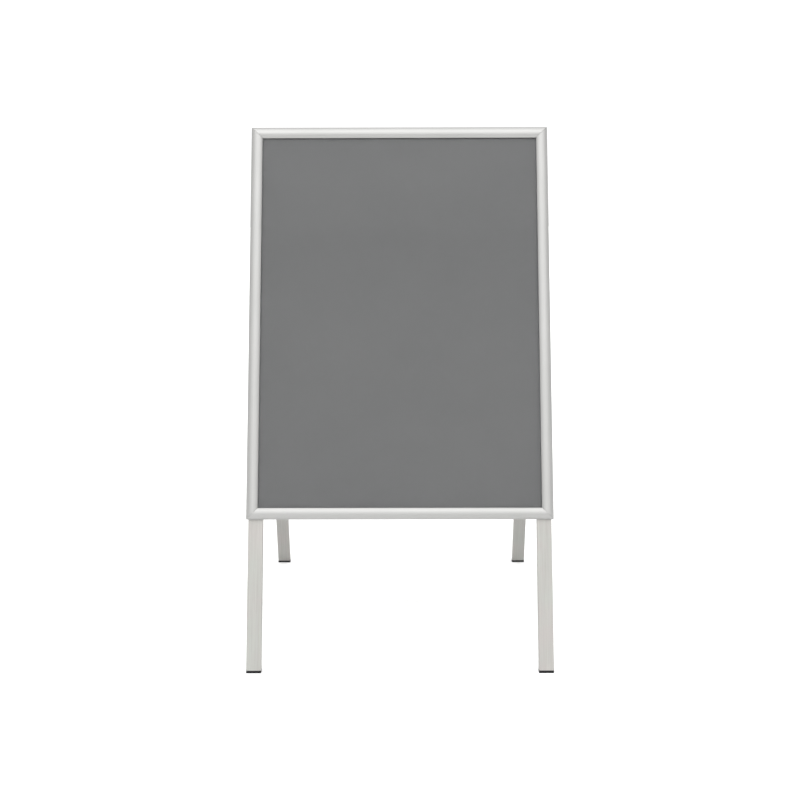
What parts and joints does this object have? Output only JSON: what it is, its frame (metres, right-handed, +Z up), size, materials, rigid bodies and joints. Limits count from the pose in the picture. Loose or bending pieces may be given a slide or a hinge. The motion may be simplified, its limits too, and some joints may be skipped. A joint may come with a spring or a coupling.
{
  "type": "sandwich board",
  "caption": "Folding A-board: two snap-frame poster boards on aluminium legs, hinged at the top and held apart by folding stays.",
  "frame": {"origin": "on the floor, midway between the four feet, with the board standing open", "axes": "+Z up; +X to the right of a person facing the front board; the front board is on the -Y side"},
  "size_m": [0.6292, 0.7158, 1.0852],
  "materials": {
    "frame_aluminium": "satin silver anodised",
    "leg_aluminium": "silver anodised, lightly brushed along its length",
    "foot_rubber": "matt black",
    "black_plastic": "moulded black",
    "panel_plastic": "pale grey sheet",
    "poster_sheet": "plain mid grey with faint fine lines",
    "clear_plastic": "anti-glare clear",
    "spring_steel": "bright",
    "plated_steel": "zinc plated"
  },
  "bodies": {
    "front_board": {"front_back_panel": "panel_plastic", "front_base_rail_bottom": "frame_aluminium", "front_base_rail_left": "frame_aluminium", "front_base_rail_right": "frame_aluminium", "front_base_rail_top": "frame_aluminium", "front_bracket_screws": "plated_steel", "front_clear_sheet": "clear_plastic", "front_corner_brackets": "plated_steel", "front_foot_left": "foot_rubber", "front_foot_right": "foot_rubber", "front_frame_screws": "plated_steel", "front_hinge_plate_left": "plated_steel", "front_hinge_plate_right": "plated_steel", "front_hinge_rivets": "plated_steel", "front_leg_caps": "black_plastic", "front_leg_left": "leg_aluminium", "front_leg_right": "leg_aluminium", "front_poster": "poster_sheet", "front_snap_springs": "spring_steel", "front_stay_pivots": "plated_steel", "hinge_bolts": "plated_steel", "hinge_nuts": "plated_steel"},
    "rear_board": {"rear_back_panel": "panel_plastic", "rear_base_rail_bottom": "frame_aluminium", "rear_base_rail_left": "frame_aluminium", "rear_base_rail_right": "frame_aluminium", "rear_base_rail_top": "frame_aluminium", "rear_bracket_screws": "plated_steel", "rear_clear_sheet": "clear_plastic", "rear_corner_brackets": "plated_steel", "rear_foot_left": "foot_rubber", "rear_foot_right": "foot_rubber", "rear_frame_screws": "plated_steel", "rear_hinge_plate_left": "plated_steel", "rear_hinge_plate_right": "plated_steel", "rear_hinge_rivets": "plated_steel", "rear_leg_caps": "black_plastic", "rear_leg_left": "leg_aluminium", "rear_leg_right": "leg_aluminium", "rear_poster": "poster_sheet", "rear_snap_springs": "spring_steel", "rear_stay_pivots": "plated_steel"},
    "front_snap_cover_bottom": {"front_snap_cover_bottom": "frame_aluminium"},
    "front_snap_cover_left": {"front_snap_cover_left": "frame_aluminium"},
    "front_snap_cover_right": {"front_snap_cover_right": "frame_aluminium"},
    "front_snap_cover_top": {"front_snap_cover_top": "frame_aluminium"},
    "rear_snap_cover_bottom": {"rear_snap_cover_bottom": "frame_aluminium"},
    "rear_snap_cover_left": {"rear_snap_cover_left": "frame_aluminium"},
    "rear_snap_cover_right": {"rear_snap_cover_right": "frame_aluminium"},
    "rear_snap_cover_top": {"rear_snap_cover_top": "frame_aluminium"},
    "front_stay_arm_left": {"front_stay_arm_left": "plated_steel", "stay_middle_rivet_left": "plated_steel"},
    "front_stay_arm_right": {"front_stay_arm_right": "plated_steel", "stay_middle_rivet_right": "plated_steel"},
    "rear_stay_arm_left": {"rear_stay_arm_left": "plated_steel"},
    "rear_stay_arm_right": {"rear_stay_arm_right": "plated_steel"}
  },
  "joints": [
    {"name": "main_fold", "type": "hinge", "parent": "front_board", "child": "rear_board", "pos_m": [0, 0, 1.0752], "axis": [-1, 0, 0], "range_deg": [0, 35.2]},
    {"name": "front_snap_cover_bottom_hinge", "type": "hinge", "parent": "front_board", "child": "front_snap_cover_bottom", "pos_m": [0, -0.26708, 0.29609], "axis": [1, 0, 0], "range_deg": [0, 90]},
    {"name": "front_snap_cover_right_hinge", "type": "hinge", "parent": "front_board", "child": "front_snap_cover_right", "pos_m": [0.3124, -0.14239, 0.68918], "axis": [0, 0.3024, 0.9532], "range_deg": [0, 90]},
    {"name": "front_snap_cover_top_hinge", "type": "hinge", "parent": "front_board", "child": "front_snap_cover_top", "pos_m": [0, -0.01769, 1.08228], "axis": [-1, 0, 0], "range_deg": [0, 90]},
    {"name": "front_snap_cover_left_hinge", "type": "hinge", "parent": "front_board", "child": "front_snap_cover_left", "pos_m": [-0.3124, -0.14239, 0.68918], "axis": [0, -0.3024, -0.9532], "range_deg": [0, 90]},
    {"name": "rear_snap_cover_bottom_hinge", "type": "hinge", "parent": "rear_board", "child": "rear_snap_cover_bottom", "pos_m": [0, 0.26708, 0.29609], "axis": [-1, 0, 0], "range_deg": [0, 90]},
    {"name": "rear_snap_cover_left_hinge", "type": "hinge", "parent": "rear_board", "child": "rear_snap_cover_left", "pos_m": [-0.3124, 0.14239, 0.68918], "axis": [0, -0.3024, 0.9532], "range_deg": [0, 90]},
    {"name": "rear_snap_cover_top_hinge", "type": "hinge", "parent": "rear_board", "child": "rear_snap_cover_top", "pos_m": [0, 0.01769, 1.08228], "axis": [1, 0, 0], "range_deg": [0, 90]},
    {"name": "rear_snap_cover_right_hinge", "type": "hinge", "parent": "rear_board", "child": "rear_snap_cover_right", "pos_m": [0.3124, 0.14239, 0.68918], "axis": [0, 0.3024, -0.9532], "range_deg": [0, 90]},
    {"name": "front_stay_arm_left_pivot", "type": "hinge", "parent": "front_board", "child": "front_stay_arm_left", "pos_m": [-0.279, -0.13812, 0.6679], "axis": [-1, 0, 0], "range_deg": [0, 41.66]},
    {"name": "front_stay_arm_right_pivot", "type": "hinge", "parent": "front_board", "child": "front_stay_arm_right", "pos_m": [0.279, -0.13812, 0.6679], "axis": [-1, 0, 0], "range_deg": [0, 41.66]},
    {"name": "rear_stay_arm_left_pivot", "type": "hinge", "parent": "rear_board", "child": "rear_stay_arm_left", "pos_m": [-0.279, 0.13812, 0.6679], "axis": [1, 0, 0], "range_deg": [0, 41.66]},
    {"name": "rear_stay_arm_right_pivot", "type": "hinge", "parent": "rear_board", "child": "rear_stay_arm_right", "pos_m": [0.279, 0.13812, 0.6679], "axis": [1, 0, 0], "range_deg": [0, 41.66]}
  ],
  "couplings": [
    {"joint": "front_stay_arm_left_pivot", "follows": "main_fold", "ratio": 1.1832},
    {"joint": "front_stay_arm_right_pivot", "follows": "main_fold", "ratio": 1.1832},
    {"joint": "rear_stay_arm_left_pivot", "follows": "main_fold", "ratio": 1.1832},
    {"joint": "rear_stay_arm_right_pivot", "follows": "main_fold", "ratio": 1.1832}
  ]
}
